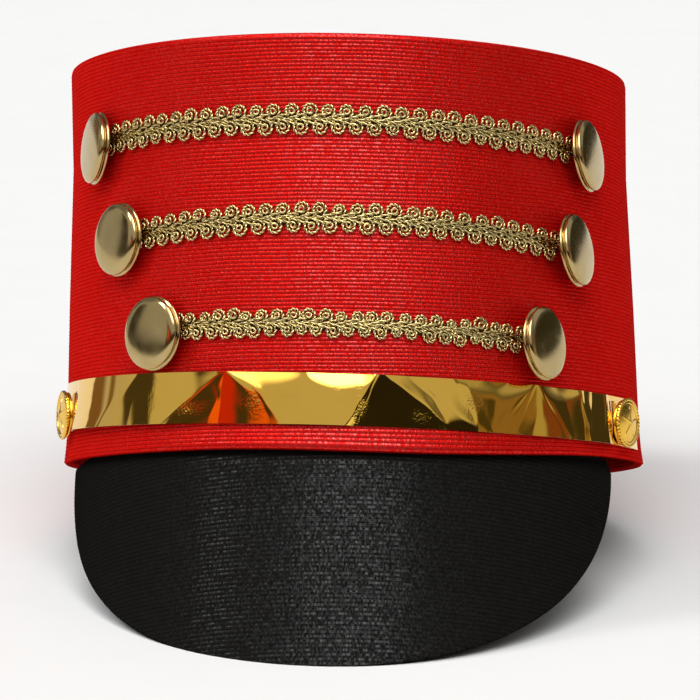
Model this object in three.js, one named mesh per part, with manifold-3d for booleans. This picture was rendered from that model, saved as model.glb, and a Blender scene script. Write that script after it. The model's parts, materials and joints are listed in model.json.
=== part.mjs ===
// A red drum-major's cap: an oval cloth crown, a steep black peak, a crinkled gold strip,
// three rows of scalloped braid and the buttons on their ends. Millimetres, +Z up, front towards -Y.
// The cap is drawn upright, with its hem at height 0, and then laid back on its peak and hem.

import * as THREE from 'three';
import { mergeVertices } from 'three/addons/utils/BufferGeometryUtils.js';
import Module from 'manifold-3d';

const wasm = await Module();
wasm.setup();

// Crown
const CROWN_HEIGHT = 119.8;
const CROWN_SECTIONS = [
  { height: 0, halfWidth: 89.0 },
  { height: 14.4, halfWidth: 88.3 },
  { height: 48, halfWidth: 87.4 },
  { height: 90, halfWidth: 85.9 },
  { height: CROWN_HEIGHT, halfWidth: 86.3 },
];
const DEPTH_RATIO = 1.15; // front-to-back width over side-to-side width
const CROWN_LEAN = -2.9; // sideways shift of the top
const CROWN_SKEW = 0.84; // rise of the hem, and drop of the top edge, at the +X side
const CROWN_SIDES = 72;
const WALL = 2.2;
const HEM_HEIGHT = 8;
const HEM_WALL = 2.9;
const HEM_BULGE = 0.4;
const HEM_SAG = { drop: 1.6, angle: 18, halfSpan: 45 }; // the cloth hangs a little low beside the front
const TOP_PANEL = { sunk: 0.9, thickness: 2.2 };

// Peak
const PEAK_DROP = 62.3;
const PEAK_END_DROP = 3;
const PEAK_CENTRE = -4.9; // degrees, seen from above
const PEAK_HALF_SPAN = 68.4;
const PEAK_SHARPNESS = 1.12; // 1 gives half an ellipse for the lower edge, more a narrower tip
const PEAK_LEAN = 12;
const PEAK_FLARE = 3;
const PEAK_STEP = 1.3; // how far the sheet comes out again below the hem
const PEAK_STEP_DEPTH = 4;
const PEAK_TUCK = 7;
const PEAK_THICKNESS = 2.5;
const PEAK_COLUMNS = 36;
const PEAK_ROWS = 9;

// Trim
const GAP = 0.3;
const ROW_SLOPE = 2.7; // the strip runs this much lower at the +X side
const STRIP = { height: 13.7, width: 14.8, thickness: 0.5, left: -78, right: 76 };
const STRIP_FOLDS = [ // lift of the strip's two edges at each fold
  { angle: STRIP.left, lower: 0, upper: 0 },
  { angle: -66, lower: 0.2, upper: 0.1 },
  { angle: -60, lower: 0.7, upper: 0.6 },
  { angle: -56.5, lower: 0.2, upper: 0.2 },
  { angle: -53, lower: 0.5, upper: 0.4 },
  { angle: -47, lower: 0.1, upper: 0.1 },
  { angle: -41.2, lower: 0, upper: 1.3 },
  { angle: -35.6, lower: 1.2, upper: 0.4 },
  { angle: -30, lower: 0.5, upper: 0 },
  { angle: -21.8, lower: 0.1, upper: 1.5 },
  { angle: -14, lower: 0.3, upper: 0 },
  { angle: -6.7, lower: 1.3, upper: 1.4 },
  { angle: 0.5, lower: 0.4, upper: 0 },
  { angle: 7, lower: 0, upper: 1.5 },
  { angle: 15.5, lower: 1.2, upper: 0 },
  { angle: 22.4, lower: 0.5, upper: 1.2 },
  { angle: 29, lower: 0.9, upper: 0.1 },
  { angle: 37.5, lower: 0.1, upper: 1.3 },
  { angle: 44, lower: 0.8, upper: 0 },
  { angle: 51, lower: 0.2, upper: 1.1 },
  { angle: 54, lower: 0.7, upper: 0.2 },
  { angle: 57.5, lower: 0.1, upper: 0.4 },
  { angle: 60, lower: 0, upper: 0 },
  { angle: STRIP.right, lower: 0, upper: 0 },
];
const BRAID = { width: 8.2, scallop: 1.0, thickness: 2.0, pitch: 5.3, stepsPerLoop: 3, endGap: 4 };
const BRAID_ROWS = [ // height of each row at its left button, at the front and at its right button
  { name: 'upper', left: 93.0, front: 94.6, right: 91.0 },
  { name: 'middle', left: 63.2, front: 66.0, right: 61.3 },
  { name: 'lower', left: 35.8, front: 35.4, right: 32.6 },
];

// Buttons
const BUTTON_RADIUS = 10.9;
const BUTTON_SHANK = 2;
const BUTTON_SIDES = 20;
const BUTTON_PROFILE = [ // distance in from the edge, and height over the back plate
  { inset: 0.5, height: 0 },
  { inset: 0, height: 0.4 },
  { inset: 0, height: 0.9 },
  { inset: 0.8, height: 1.2 },
  { inset: 0.3, height: 1.8 },
  { inset: 0.9, height: 2.7 },
  { inset: 2.0, height: 3.1 },
  { inset: 5.5, height: 3.6 },
];
const BUTTON_CROWN = 3.8;
const BUTTON_PLACES = [ // lean: how far the face turns away from the braid, in degrees
  { name: 'upper_left', angle: -56.2, height: 91.0, lean: 8 },
  { name: 'upper_right', angle: 53.8, height: 89.9, lean: 12 },
  { name: 'middle_left', angle: -47.1, height: 62.5, lean: 0 },
  { name: 'middle_right', angle: 48.2, height: 60.4, lean: 15 },
  { name: 'lower_left', angle: -37.4, height: 34.1, lean: 1 },
  { name: 'lower_right', angle: 38.6, height: 31.7, lean: 17 },
];
const SIDE_BUTTON_RADIUS = 7.5;
const SIDE_BUTTON_PROFILE = [ // a flat foot ring, a groove, the rope edge and a dished face
  { inset: 0.8, height: 0 },
  { inset: 0.6, height: 0.2 },
  { inset: 0.6, height: 0.7 },
  { inset: 1.2, height: 0.9 },
  { inset: 0.4, height: 1.1 },
  { inset: 0, height: 1.6 },
  { inset: 0.4, height: 2.2 },
  { inset: 1.3, height: 2.3 },
  { inset: 1.8, height: 1.9 },
  { inset: 4.5, height: 2.5 },
];
const SIDE_BUTTON_CROWN = 2.7;
const ROPE = { turns: 16, depth: 0.35, width: 1.4 };
const STAR = { points: 5, outer: 4.6, inner: 2.0, bottom: 1.6, top: 3.1 };
const SIDE_BUTTON_PLACES = [ // the faces turn a little to the front
  { name: 'left', angle: -72.5, height: 13.8, lean: -3 },
  { name: 'right', angle: 65, height: 10.8, lean: -6 },
];

// Resting
const FLOOR_PRESS = 1.0; // how far the cloth edges are flattened where the cap rests

const PALETTE = {
  redCloth: { color: 0xb01414, roughness: 0.55, metalness: 0 },
  blackCloth: { color: 0x1a1919, roughness: 0.6, metalness: 0 },
  goldFoil: { color: 0xc99a2e, roughness: 0.12, metalness: 1 },
  goldBraid: { color: 0xb99a45, roughness: 0.45, metalness: 0.7 },
  paleGold: { color: 0xcdbd8c, roughness: 0.2, metalness: 1 },
  yellowGold: { color: 0xe0ae22, roughness: 0.25, metalness: 1 },
};

const radians = THREE.MathUtils.degToRad;

function namedMesh(name, geometry, finish) {
  const mesh = new THREE.Mesh(geometry, new THREE.MeshStandardMaterial(PALETTE[finish]));
  mesh.name = name;
  return mesh;
}

// Moves each vertex of a geometry to the point that place() gives for it.
function reshape(geometry, place) {
  const position = geometry.attributes.position;
  const from = new THREE.Vector3();
  for (let i = 0; i < position.count; i += 1) {
    const to = place(from.fromBufferAttribute(position, i));
    position.setXYZ(i, to.x, to.y, to.z);
  }
  geometry.computeVertexNormals();
  return geometry;
}

// A closed sheet: place() gets the position along it, up it and through its thickness, each 0 to 1.
function sheet(columns, rows, place) {
  const block = new THREE.BoxGeometry(1, 1, 1, columns, rows, 1);
  return reshape(block, (p) => place(p.x + 0.5, p.y + 0.5, p.z + 0.5));
}

// A closed turned body about +Z, from points of radius and height.
function turned(points, sides) {
  const profile = points.map(([radius, height]) => new THREE.Vector2(radius, height));
  return new THREE.LatheGeometry(profile, sides).rotateX(Math.PI / 2);
}

// The value of a column at a place between two rows of a table sorted by key.
function between(table, key, column, at) {
  const last = table.length - 1;
  let i = 1;
  while (i < last && table[i][key] < at) i += 1;
  const low = table[i - 1];
  const high = table[i];
  const share = THREE.MathUtils.clamp((at - low[key]) / (high[key] - low[key]), 0, 1);
  return THREE.MathUtils.lerp(low[column], high[column], share);
}

// The direction out of the oval, and a point on it; angle 0 is the front, positive towards +X.
function outward(angle) {
  return new THREE.Vector3(DEPTH_RATIO * Math.sin(angle), -Math.cos(angle), 0).normalize();
}

function ovalPoint(angle, halfWidth, lift) {
  const onOval = new THREE.Vector3(halfWidth * Math.sin(angle), -halfWidth * DEPTH_RATIO * Math.cos(angle), 0);
  return onOval.addScaledVector(outward(angle), lift);
}

// A point on the crown's outer wall, raised off it by lift.
function wallPoint(angle, height, lift) {
  const point = ovalPoint(angle, between(CROWN_SECTIONS, 'height', 'halfWidth', height), lift);
  const rise = height / CROWN_HEIGHT;
  point.x += CROWN_LEAN * rise;
  point.z = height + CROWN_SKEW * (1 - 2 * rise) * Math.sin(angle);
  return point;
}

function hemSag(angle, height) {
  const across = (THREE.MathUtils.radToDeg(angle) - HEM_SAG.angle) / HEM_SAG.halfSpan;
  const share = Math.abs(across) < 1 ? 0.5 + 0.5 * Math.cos(Math.PI * across) : 0;
  return HEM_SAG.drop * share * THREE.MathUtils.clamp(1 - height / HEM_HEIGHT, 0, 1);
}

// Solids for joins and cuts
function solidOf(geometry) {
  const plain = geometry.clone();
  plain.deleteAttribute('normal');
  plain.deleteAttribute('uv');
  const merged = mergeVertices(plain, 1e-4);
  const vertProperties = new Float32Array(merged.attributes.position.array);
  const triVerts = new Uint32Array(merged.index.array);
  return new wasm.Manifold(new wasm.Mesh({ numProp: 3, vertProperties, triVerts }));
}

function geometryOf(solid) {
  const mesh = solid.getMesh();
  const geometry = new THREE.BufferGeometry();
  geometry.setAttribute('position', new THREE.BufferAttribute(mesh.vertProperties, 3));
  geometry.setIndex(new THREE.BufferAttribute(mesh.triVerts, 1));
  geometry.computeVertexNormals();
  return geometry;
}

// The crown's wall: out round the rolled hem, up the outside, over the top edge and down the inside.
function crownSide() {
  const reference = 100;
  const profile = [
    { lift: -1.5, height: 0 },
    { lift: -0.6, height: 0.2 },
    { lift: 0.2, height: 0.8 },
    { lift: HEM_BULGE, height: 1.9 },
    { lift: 0, height: 3.6 },
    ...CROWN_SECTIONS.slice(1, -1).map(({ height }) => ({ lift: 0, height })),
    { lift: 0, height: CROWN_HEIGHT - 0.8 },
    { lift: -0.8, height: CROWN_HEIGHT },
    { lift: -WALL + 0.5, height: CROWN_HEIGHT },
    { lift: -WALL, height: CROWN_HEIGHT - 0.5 },
    ...CROWN_SECTIONS.slice(1, -1).reverse().map(({ height }) => ({ lift: -WALL, height })),
    { lift: -HEM_WALL, height: HEM_HEIGHT },
    { lift: -HEM_WALL, height: 1.2 },
    { lift: -2.4, height: 0.2 },
    { lift: -1.5, height: 0 },
  ];
  const lathe = turned(profile.map(({ lift, height }) => [reference + lift, height]), CROWN_SIDES);
  return reshape(lathe, (p) => {
    const angle = Math.atan2(p.x, -p.y);
    const point = wallPoint(angle, p.z, Math.hypot(p.x, p.y) - reference);
    point.z -= hemSag(angle, p.z);
    return point;
  });
}

function crownTop() {
  const upper = CROWN_HEIGHT - TOP_PANEL.sunk;
  const lower = upper - TOP_PANEL.thickness;
  const disc = turned([[0, lower], [1, lower], [1, upper], [0, upper]], CROWN_SIDES);
  return reshape(disc, (p) => {
    const centre = new THREE.Vector3(CROWN_LEAN * p.z / CROWN_HEIGHT, 0, p.z);
    const edge = wallPoint(Math.atan2(p.x, -p.y), p.z, -WALL - GAP);
    return centre.lerp(edge, Math.hypot(p.x, p.y));
  });
}

// The peak hangs from inside the hem: its lower edge is close to half an ellipse and its sheet leans forward.
function peakPoint(along, up, through) {
  const turn = (along - 0.5) * Math.PI;
  const angle = radians(PEAK_CENTRE + PEAK_HALF_SPAN * Math.sin(turn));
  const drop = PEAK_END_DROP + (PEAK_DROP - PEAK_END_DROP) * Math.max(0, Math.cos(turn)) ** PEAK_SHARPNESS;
  const hemRow = (PEAK_ROWS - 1) / PEAK_ROWS;
  const inset = -HEM_WALL - GAP - PEAK_THICKNESS * (1 - through);
  if (up > hemRow + 1e-6) {
    const tucked = PEAK_TUCK * (up - hemRow) / (1 - hemRow);
    const point = wallPoint(angle, tucked, inset);
    point.z = tucked;
    return point;
  }
  const depth = drop * (1 - up / hemRow);
  const step = PEAK_STEP * Math.min(1, depth / PEAK_STEP_DEPTH);
  const lift = inset + step + depth * Math.tan(radians(PEAK_FLARE));
  const point = ovalPoint(angle, CROWN_SECTIONS[0].halfWidth, lift);
  point.y -= depth * Math.tan(radians(PEAK_LEAN));
  point.z = -depth;
  return point;
}

function foilStrip() {
  const stepsPerFold = 2;
  const folds = STRIP_FOLDS.length - 1;
  return sheet(folds * stepsPerFold, 2, (along, up, through) => {
    const fold = Math.min(Math.floor(along * folds + 1e-6), folds - 1);
    const share = along * folds - fold;
    const degrees = THREE.MathUtils.lerp(STRIP_FOLDS[fold].angle, STRIP_FOLDS[fold + 1].angle, share);
    const lower = between(STRIP_FOLDS, 'angle', 'lower', degrees);
    const upper = between(STRIP_FOLDS, 'angle', 'upper', degrees);
    const angle = radians(degrees);
    const height = STRIP.height - ROW_SLOPE * Math.sin(angle) + STRIP.width * (up - 0.5);
    return wallPoint(angle, height, GAP + THREE.MathUtils.lerp(lower, upper, up) + STRIP.thickness * through);
  });
}

// A row of braid: loops on both edges, half a loop out of step, on a raised middle cord.
function braid(row, left, right) {
  const meanRadius = CROWN_SECTIONS[2].halfWidth;
  const spare = BRAID.endGap / meanRadius;
  const start = radians(left.angle) + spare;
  const end = radians(right.angle) - spare;
  const loops = Math.round((end - start) * meanRadius / BRAID.pitch);
  const bend = new THREE.QuadraticBezierCurve(
    new THREE.Vector2(start, row.left),
    new THREE.Vector2((start + end) / 2, 2 * row.front - (row.left + row.right) / 2),
    new THREE.Vector2(end, row.right),
  );
  return sheet(loops * BRAID.stepsPerLoop, 2, (along, up, through) => {
    const middle = bend.getPoint(along);
    const side = 2 * up - 1;
    const phase = Math.PI * (loops * along + (side > 0 ? 0 : 0.5));
    const reach = BRAID.width / 2 + BRAID.scallop * Math.abs(Math.sin(phase));
    const crest = through * BRAID.thickness * (1 - 0.3 * Math.abs(side));
    return wallPoint(middle.x, middle.y + side * reach, GAP + crest);
  });
}

// Stands a fastening on the crown's wall: +Z out of it, turned by lean away from the front.
function seat(mesh, place, standOff) {
  const angle = radians(place.angle);
  const lean = radians(place.lean ?? 0) * Math.sign(place.angle);
  const up = new THREE.Vector3(0, 0, 1);
  const out = outward(angle).applyAxisAngle(up, lean);
  const across = new THREE.Vector3().crossVectors(up, out);
  mesh.position.copy(wallPoint(angle, place.height, standOff));
  mesh.quaternion.setFromRotationMatrix(new THREE.Matrix4().makeBasis(across, up, out));
  return mesh;
}

// How high a leaning button's back plate stands: clear of the braid's end and of the wall behind it.
function buttonStandOff(lean) {
  const overBraid = BRAID.thickness + 2 * GAP - BRAID.endGap * Math.tan(lean);
  const overWall = BUTTON_RADIUS * Math.tan(lean);
  return Math.max(overBraid, overWall);
}

function largeButton(place) {
  const lean = radians(place.lean);
  const standOff = buttonStandOff(lean);
  const foot = GAP + BUTTON_SHANK * Math.sin(lean) - standOff;
  const points = [
    [0, foot],
    [BUTTON_SHANK, foot],
    [BUTTON_SHANK, 0],
    ...BUTTON_PROFILE.map(({ inset, height }) => [BUTTON_RADIUS - inset, height]),
    [0, BUTTON_CROWN],
  ];
  const mesh = namedMesh(`button_${place.name}`, turned(points, BUTTON_SIDES), 'paleGold');
  return seat(mesh, place, standOff);
}

// A side button stands on the strip's end, just clear of it.
function sideButton(place) {
  const footRadius = SIDE_BUTTON_RADIUS - SIDE_BUTTON_PROFILE[0].inset;
  const overStrip = STRIP.thickness + 2 * GAP;
  const standOff = overStrip + footRadius * Math.sin(radians(Math.abs(place.lean)));
  const points = [
    [0, 0],
    ...SIDE_BUTTON_PROFILE.map(({ inset, height }) => [SIDE_BUTTON_RADIUS - inset, height]),
    [0, SIDE_BUTTON_CROWN],
  ];
  const disc = reshape(turned(points, ROPE.turns * 2), (p) => {
    const radius = Math.hypot(p.x, p.y);
    const twist = Math.cos(ROPE.turns * Math.atan2(p.x, -p.y));
    const onRope = radius > SIDE_BUTTON_RADIUS - ROPE.width;
    const scale = onRope ? 1 - ROPE.depth * (1 - twist) / 2 / radius : 1;
    return new THREE.Vector3(p.x * scale, p.y * scale, p.z);
  });
  const star = new THREE.Shape();
  for (let i = 0; i < STAR.points * 2; i += 1) {
    const reach = i % 2 === 0 ? STAR.outer : STAR.inner;
    const turn = Math.PI * i / STAR.points;
    const corner = [reach * Math.sin(turn), reach * Math.cos(turn)];
    if (i === 0) star.moveTo(...corner);
    else star.lineTo(...corner);
  }
  star.closePath();
  const raised = new THREE.ExtrudeGeometry(star, { depth: STAR.top - STAR.bottom, bevelEnabled: false });
  raised.translate(0, 0, STAR.bottom);
  const geometry = geometryOf(solidOf(disc).add(solidOf(raised)));
  return seat(namedMesh(`side_button_${place.name}`, geometry, 'yellowGold'), place, standOff);
}

// The whole cap, upright
const cap = new THREE.Group();
const crownMesh = namedMesh('crown_side', crownSide(), 'redCloth');
const peakMesh = namedMesh('peak', sheet(PEAK_COLUMNS, PEAK_ROWS, peakPoint), 'blackCloth');
cap.add(crownMesh);
cap.add(namedMesh('crown_top', crownTop(), 'redCloth'));
cap.add(peakMesh);
cap.add(namedMesh('foil_strip', foilStrip(), 'goldFoil'));
SIDE_BUTTON_PLACES.forEach((place) => cap.add(sideButton(place)));
BRAID_ROWS.forEach((row) => {
  const left = BUTTON_PLACES.find(({ name }) => name === `${row.name}_left`);
  const right = BUTTON_PLACES.find(({ name }) => name === `${row.name}_right`);
  cap.add(namedMesh(`braid_${row.name}`, braid(row, left, right), 'goldBraid'));
  cap.add(largeButton(left));
  cap.add(largeButton(right));
});

// The cap lies back until the back of its hem and the tip of its peak meet the floor, and the
// cloth is pressed flat there.
const tip = peakPoint(0.5, 0, 0);
const heel = wallPoint(Math.PI, 0, -WALL / 2);
cap.rotation.x = -Math.atan2(heel.z - tip.z, heel.y - tip.y);
cap.updateMatrixWorld(true);
cap.position.z = -new THREE.Box3().setFromObject(cap, true).min.z - FLOOR_PRESS;
cap.updateMatrixWorld(true);

const floorSize = 400;
const floor = new THREE.BoxGeometry(floorSize, floorSize, floorSize).translate(0, 0, -floorSize / 2);
floor.applyMatrix4(cap.matrixWorld.clone().invert());
[crownMesh, peakMesh].forEach((mesh) => {
  mesh.geometry = geometryOf(solidOf(mesh.geometry).subtract(solidOf(floor)));
});

// The origin is under the middle of the cap
const middle = new THREE.Box3().setFromObject(cap, true).getCenter(new THREE.Vector3());
cap.position.x -= middle.x;
cap.position.y -= middle.y;

const part = new THREE.Group();
part.add(cap);

export default part;
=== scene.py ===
import json
import math
import random

import bmesh
import bpy
from mathutils import Matrix, Vector, noise


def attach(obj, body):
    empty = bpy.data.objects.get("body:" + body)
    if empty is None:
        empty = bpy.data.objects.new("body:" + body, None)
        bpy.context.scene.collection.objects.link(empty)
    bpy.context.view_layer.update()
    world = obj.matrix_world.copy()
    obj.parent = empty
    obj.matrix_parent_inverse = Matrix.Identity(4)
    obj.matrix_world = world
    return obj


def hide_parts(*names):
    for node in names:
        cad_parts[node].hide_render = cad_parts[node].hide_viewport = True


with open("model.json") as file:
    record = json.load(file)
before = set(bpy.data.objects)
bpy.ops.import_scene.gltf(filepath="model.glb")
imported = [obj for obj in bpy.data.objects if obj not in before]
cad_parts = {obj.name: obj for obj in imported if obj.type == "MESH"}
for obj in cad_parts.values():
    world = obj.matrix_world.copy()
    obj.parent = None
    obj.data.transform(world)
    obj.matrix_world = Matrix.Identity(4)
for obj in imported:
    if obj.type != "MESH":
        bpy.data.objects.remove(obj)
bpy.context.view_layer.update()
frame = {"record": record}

# Crown side: the tall oval wall of the cap, ribbed red satin stretched over a stiff sheet.
# The cloth is rolled over the top edge and under the hem and glued down inside, where the
# dark back of the sheet shows above the turned-in cloth.
MILLIMETRE = 0.001
CROWN_HEIGHT = 119.8
# Height and half width of the wall at five levels
CROWN_SECTIONS = ((0.0, 89.0), (14.4, 88.3), (48.0, 87.4), (90.0, 85.9), (CROWN_HEIGHT, 86.3))
DEPTH_RATIO = 1.15
CROWN_LEAN = -2.9
CROWN_SKEW = 0.84
WALL = 2.2
HEM_HEIGHT = 8.0
HEM_WALL = 2.9
HEM_SAG_DROP = 1.6
HEM_SAG_ANGLE = 18.0
HEM_SAG_HALF_SPAN = 45.0
HEM_FLARE = 0.6
HEM_FLARE_HEIGHT = 10.0
# Way out of the wall and way up, at the hem, over the top edge and inside the hem
HEM_ROLL = ((-1.5, 0.0), (-0.6, 0.15), (0.05, 0.7))
TOP_ROLL = ((-0.15, -0.25), (-0.8, 0.0), (-1.7, 0.0), (-WALL, -0.5))
HEM_INSIDE = ((-HEM_WALL, HEM_HEIGHT), (-HEM_WALL, 1.2), (-2.4, 0.2))
CROWN_COLUMNS = 168
CLOTH_FOOT = 1.2
CLOTH_HEAD = 0.8
CROWN_RIB = 1.13
RIB_STEPS = 4
RIB_RELIEF = 0.11
RIB_WANDER = 0.25
WANDER_ALONG = 4.0
WANDER_UP = 0.06
WANDER_HEM_FADE = 12.0
WANDER_TOP_FADE = 6.0
MEAN_RADIUS = 94.0
REFERENCE_RADIUS = 100.0
LINING_MARGIN = 0.1
LINING_FOOT = HEM_HEIGHT + 1.0
GROOVE_SHADE_FALLOFF = 0.7
SEAM_SHADE_SHARPNESS = 3.0
SEAM_SHADE_DEPTH = 0.5
DASH_ROW_SHIFT = 3.7
DASH_LOW = 0.36
DASH_HIGH = 0.64
FINE_RELIEF = 0.6
DASH_PAINTED_HIGHLIGHT = 0.55
PATCH_SHADE = 0.5
CLOTH_ROUGHNESS = 0.5
DASH_GLOSS = -0.26
GLINT_SHARPNESS = 2.0
GLINT_FACING = 3.0

opening = next(mount for mount in frame["record"]["mounts"] if mount["name"] == "head_opening")
lay_back = math.atan2(opening["axis"][1], -opening["axis"][2])
cap_place = (
    Matrix.Translation(opening["pos_m"])
    @ Matrix.Rotation(lay_back, 4, "X")
    @ Matrix.Scale(MILLIMETRE, 4)
)


def between(table, at):
    """The value at a place in a table of rows (place, value), on straight lines between the rows."""
    for (low, low_value), (high, high_value) in zip(table, table[1:]):
        if at <= high:
            break
    share = min(1.0, max(0.0, (at - low) / (high - low)))
    return low_value + (high_value - low_value) * share


def outward(angle):
    """The direction out of the oval at an angle in radians."""
    return Vector((DEPTH_RATIO * math.sin(angle), -math.cos(angle), 0.0)).normalized()


def oval_point(angle, half_width, lift):
    """A point on an oval of that half width, moved out by lift."""
    across = half_width * math.sin(angle)
    forward = -half_width * DEPTH_RATIO * math.cos(angle)
    return Vector((across, forward, 0.0)) + outward(angle) * lift


def wall_point(angle, height, lift):
    """A point on the crown's outer wall, moved out by lift."""
    rise = height / CROWN_HEIGHT
    point = oval_point(angle, between(CROWN_SECTIONS, height), lift)
    point.x += CROWN_LEAN * rise
    point.z = height + CROWN_SKEW * (1 - 2 * rise) * math.sin(angle)
    return point


def hem_sag(angle, height):
    """How far the cloth hangs low beside the front of the hem."""
    across = (math.degrees(angle) - HEM_SAG_ANGLE) / HEM_SAG_HALF_SPAN
    share = 0.5 + 0.5 * math.cos(math.pi * across) if abs(across) < 1 else 0.0
    return HEM_SAG_DROP * share * max(0.0, 1 - height / HEM_HEIGHT)


def rib_lift(along_ribs):
    """The roundness of the cloth's cords: 0 in the groove between two, 1 on top of one."""
    return math.sqrt(abs(math.sin(math.pi * along_ribs)))


def add_node(tree, kind, inputs=None, **settings):
    """Adds a node and fills its inputs with plain values or with the sockets of other nodes."""
    made = tree.nodes.new(kind)
    for name, value in settings.items():
        setattr(made, name, value)
    for name, value in (inputs or {}).items():
        if isinstance(value, bpy.types.NodeSocket):
            tree.links.new(value, made.inputs[name])
        else:
            made.inputs[name].default_value = value
    return made


def maths(tree, operation, first, second=0.0, third=0.0):
    """The result of one sum on the surface's values."""
    made = add_node(tree, "ShaderNodeMath", {0: first, 1: second, 2: third}, operation=operation)
    return made.outputs[0]


def blend_colours(tree, share, low, high):
    """A colour between two, by a value from 0 to 1."""
    made = add_node(tree, "ShaderNodeMix", data_type="RGBA")
    for index, value in ((0, share), (6, low), (7, high)):
        if isinstance(value, bpy.types.NodeSocket):
            tree.links.new(value, made.inputs[index])
        else:
            made.inputs[index].default_value = value
    return made.outputs[2]


def new_material(name, **shader_values):
    """A material with one Principled shader, whose plain values are set on its own sockets."""
    material = bpy.data.materials.new(name)
    material.use_nodes = True
    tree = material.node_tree
    tree.nodes.clear()
    shader = add_node(tree, "ShaderNodeBsdfPrincipled")
    for socket, value in shader_values.items():
        shader.inputs[socket.replace("_", " ")].default_value = value
    add_node(tree, "ShaderNodeOutputMaterial", {"Surface": shader.outputs["BSDF"]})
    return material, tree, shader


def mottled(tree, place=None, **inputs):
    """A soft random pattern, on the piece's own place or on the one given."""
    if place is None:
        place = add_node(tree, "ShaderNodeTexCoord").outputs["Object"]
    return add_node(tree, "ShaderNodeTexNoise", {"Vector": place, **inputs}).outputs[0]


def dress(tree, shader, colour, height, strength, relief):
    """Joins a colour and a fine relief, in millimetres, to a shader."""
    tree.links.new(colour, shader.inputs["Base Color"])
    bump = add_node(
        tree, "ShaderNodeBump", {"Height": height, "Strength": strength, "Distance": relief * MILLIMETRE}
    )
    tree.links.new(bump.outputs[0], shader.inputs["Normal"])


def new_group(name, inputs, outputs):
    """An empty node group: its inputs by name and kind, and the names of the values it puts out."""
    group = bpy.data.node_groups.new(name, "ShaderNodeTree")
    for socket, kind in inputs.items():
        group.interface.new_socket(socket, in_out="INPUT", socket_type=kind)
    for socket in outputs:
        group.interface.new_socket(socket, in_out="OUTPUT", socket_type="NodeSocketFloat")
    return group, add_node(group, "NodeGroupInput").outputs


def weave_group():
    """Ribbed satin: rounded cords with a mask of painted shade in the grooves and along a seam down each
    cord, and threads along them that catch the light in short dashes.

    The vector holds millimetres along the ribs and across them, with a groove at each whole rib.
    """
    inputs = {"Vector": "NodeSocketVector", "Rib": "NodeSocketFloat"}
    group, given = new_group("ribbed weave", inputs, ("Height", "Dash", "Clear of groove shade"))
    place = add_node(group, "ShaderNodeSeparateXYZ", {"Vector": given["Vector"]}).outputs
    rib_count = maths(group, "DIVIDE", place["Y"], given["Rib"])
    across_cord = maths(group, "SINE", maths(group, "MULTIPLY", rib_count, math.pi))
    # Painted shade: the mask is 0 in the groove between two cords, 1 on a cord's top, and dips along a
    # seam down its middle.
    cord = maths(group, "POWER", maths(group, "ABSOLUTE", across_cord), GROOVE_SHADE_FALLOFF)
    beside = maths(group, "COSINE", maths(group, "MULTIPLY", rib_count, math.pi))
    near_seam = maths(group, "SUBTRACT", 1.0, maths(group, "ABSOLUTE", beside))
    seam_shade = maths(group, "POWER", near_seam, SEAM_SHADE_SHARPNESS)
    cord = maths(group, "MULTIPLY", cord, maths(group, "MULTIPLY_ADD", seam_shade, -SEAM_SHADE_DEPTH, 1.0))
    half_cord = maths(group, "FLOOR", maths(group, "MULTIPLY", rib_count, 2.0))
    dash_place = add_node(
        group,
        "ShaderNodeCombineXYZ",
        {"X": place["X"], "Y": maths(group, "MULTIPLY", half_cord, DASH_ROW_SHIFT)},
    ).outputs[0]
    dashes = mottled(group, dash_place, Scale=1.2, Detail=3.0, Roughness=0.6)
    dash = add_node(
        group, "ShaderNodeMapRange", {"Value": dashes, "From Min": DASH_LOW, "From Max": DASH_HIGH}
    ).outputs[0]
    fine = mottled(group, given["Vector"], Scale=2.6, Detail=1.0)
    height = maths(group, "MULTIPLY_ADD", fine, FINE_RELIEF, dash)
    add_node(group, "NodeGroupOutput", {"Height": height, "Dash": dash, "Clear of groove shade": cord})
    return group


ribbed_weave = weave_group()


def cloth_material(name, groove, dark, light, rib, thread_relief, dash_shine, sheen, **shader_values):
    """Ribbed satin dyed in one colour, on the piece's own map of millimetres, with painted shade in its
    grooves and a painted highlight on its dashes.
    """
    material, tree, shader = new_material(name, **shader_values)
    cloth_map = add_node(tree, "ShaderNodeUVMap", uv_map="cloth").outputs[0]
    weave = add_node(tree, "ShaderNodeGroup", node_tree=ribbed_weave)
    tree.links.new(cloth_map, weave.inputs["Vector"])
    weave.inputs["Rib"].default_value = rib
    dash = weave.outputs["Dash"]
    patches = mottled(tree, cloth_map, Scale=0.05, Detail=3.0)
    # Painted highlight: the dashes that catch the light are also painted lighter; the broad patches are
    # the cloth's own uneven tone.
    shade = maths(tree, "MULTIPLY_ADD", dash, DASH_PAINTED_HIGHLIGHT, maths(tree, "MULTIPLY", patches, PATCH_SHADE))
    threads = blend_colours(tree, shade, dark, light)
    # Painted shade: towards each groove and along each seam the groove colour takes over from the thread
    # colour.
    dye_and_painted_shade = blend_colours(tree, weave.outputs["Clear of groove shade"], groove, threads)
    dress(tree, shader, dye_and_painted_shade, weave.outputs["Height"], strength=0.8, relief=thread_relief)
    gloss = maths(tree, "MULTIPLY_ADD", dash, DASH_GLOSS, CLOTH_ROUGHNESS)
    tree.links.new(gloss, shader.inputs["Roughness"])
    glint = maths(tree, "MULTIPLY", maths(tree, "POWER", dash, GLINT_SHARPNESS), dash_shine)
    turned_away = add_node(tree, "ShaderNodeLayerWeight", {"Blend": 0.5}).outputs["Facing"]
    seen = maths(tree, "SUBTRACT", 1.0, turned_away)
    facing_glint = maths(tree, "MULTIPLY", glint, maths(tree, "POWER", seen, GLINT_FACING))
    tree.links.new(facing_glint, shader.inputs["Coat Weight"])
    tree.links.new(maths(tree, "MULTIPLY", seen, sheen), shader.inputs["Metallic"])
    return material


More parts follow.
